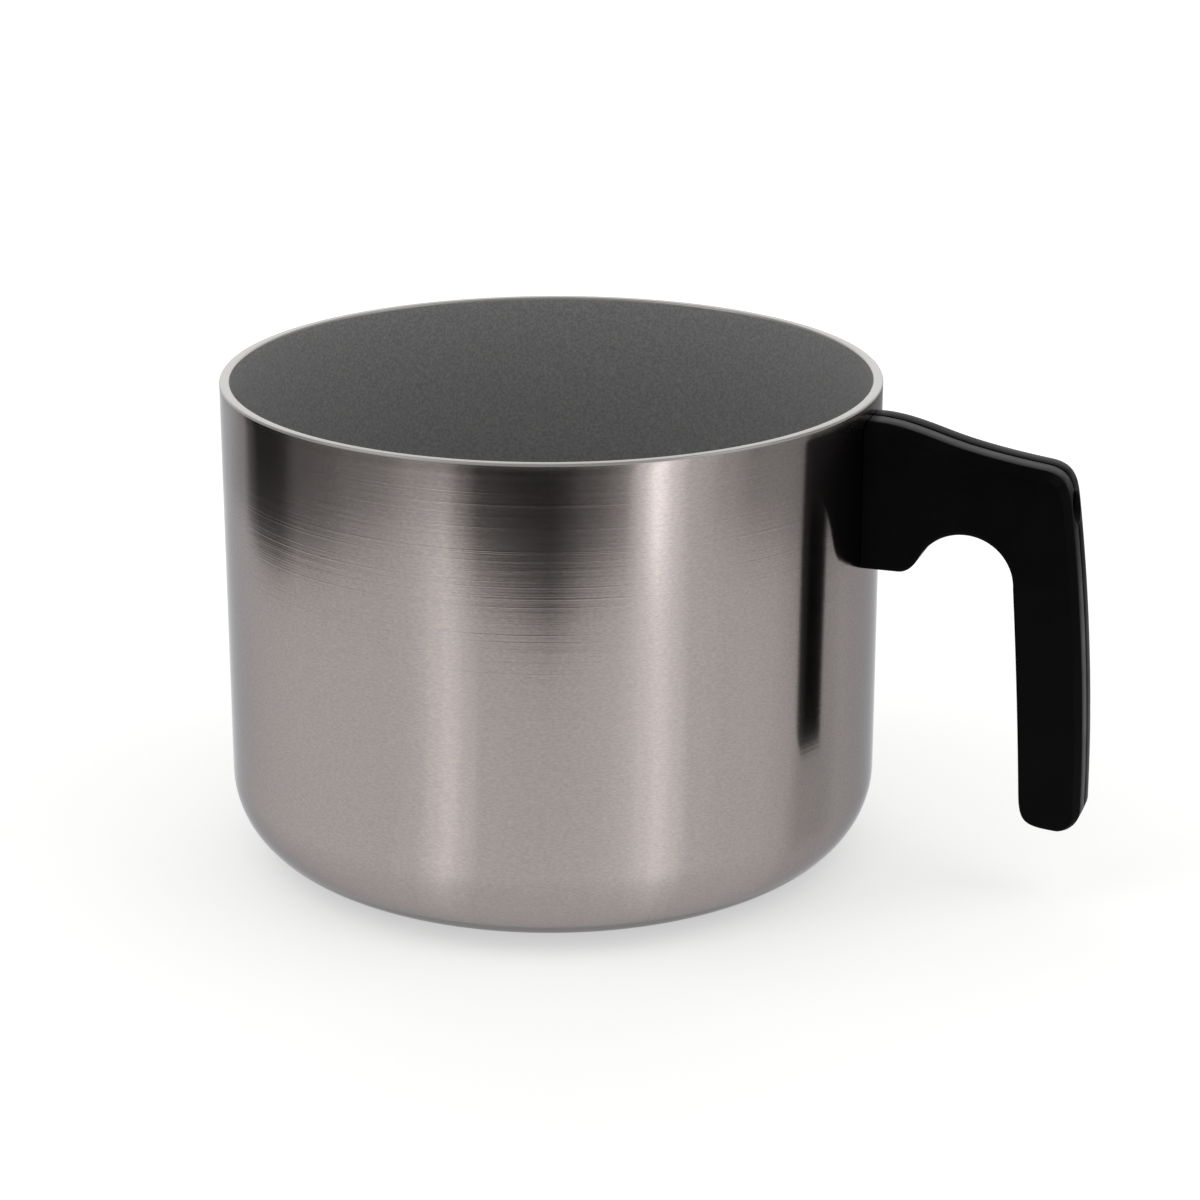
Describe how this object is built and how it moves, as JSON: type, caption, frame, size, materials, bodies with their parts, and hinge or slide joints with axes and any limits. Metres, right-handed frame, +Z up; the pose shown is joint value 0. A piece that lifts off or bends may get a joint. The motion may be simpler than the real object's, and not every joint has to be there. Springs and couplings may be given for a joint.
{
  "type": "candle melting pot",
  "caption": "Round straight-sided aluminium melting pot, open at the top, with a non-stick inside and one rigid moulded side handle with a finger gap.",
  "frame": {"origin": "centre of the flat base, on the plane the pot stands on", "axes": "+Z up along the pot's axis, +X from the pot's axis out along the handle, +Y completes the right-handed frame"},
  "size_m": [0.1876, 0.14, 0.1043],
  "materials": {
    "satin_aluminium": "fine circumferential satin brushing outside, bright turned rim, dark grey non-stick coating inside",
    "black_phenolic": "compression-moulded black phenolic, satin, with a fine parting line along the middle of its edge",
    "zinc_plated_steel": "bright zinc-plated pressed and turned steel",
    "rivet_aluminium": "plain cold-headed aluminium"
  },
  "bodies": {
    "root": {"pot_body": "satin_aluminium", "handle": "black_phenolic", "handle_bracket": "zinc_plated_steel", "bracket_rivet_upper": "rivet_aluminium", "bracket_rivet_lower": "rivet_aluminium", "bracket_nut": "zinc_plated_steel", "handle_screw": "zinc_plated_steel"}
  },
  "joints": []
}
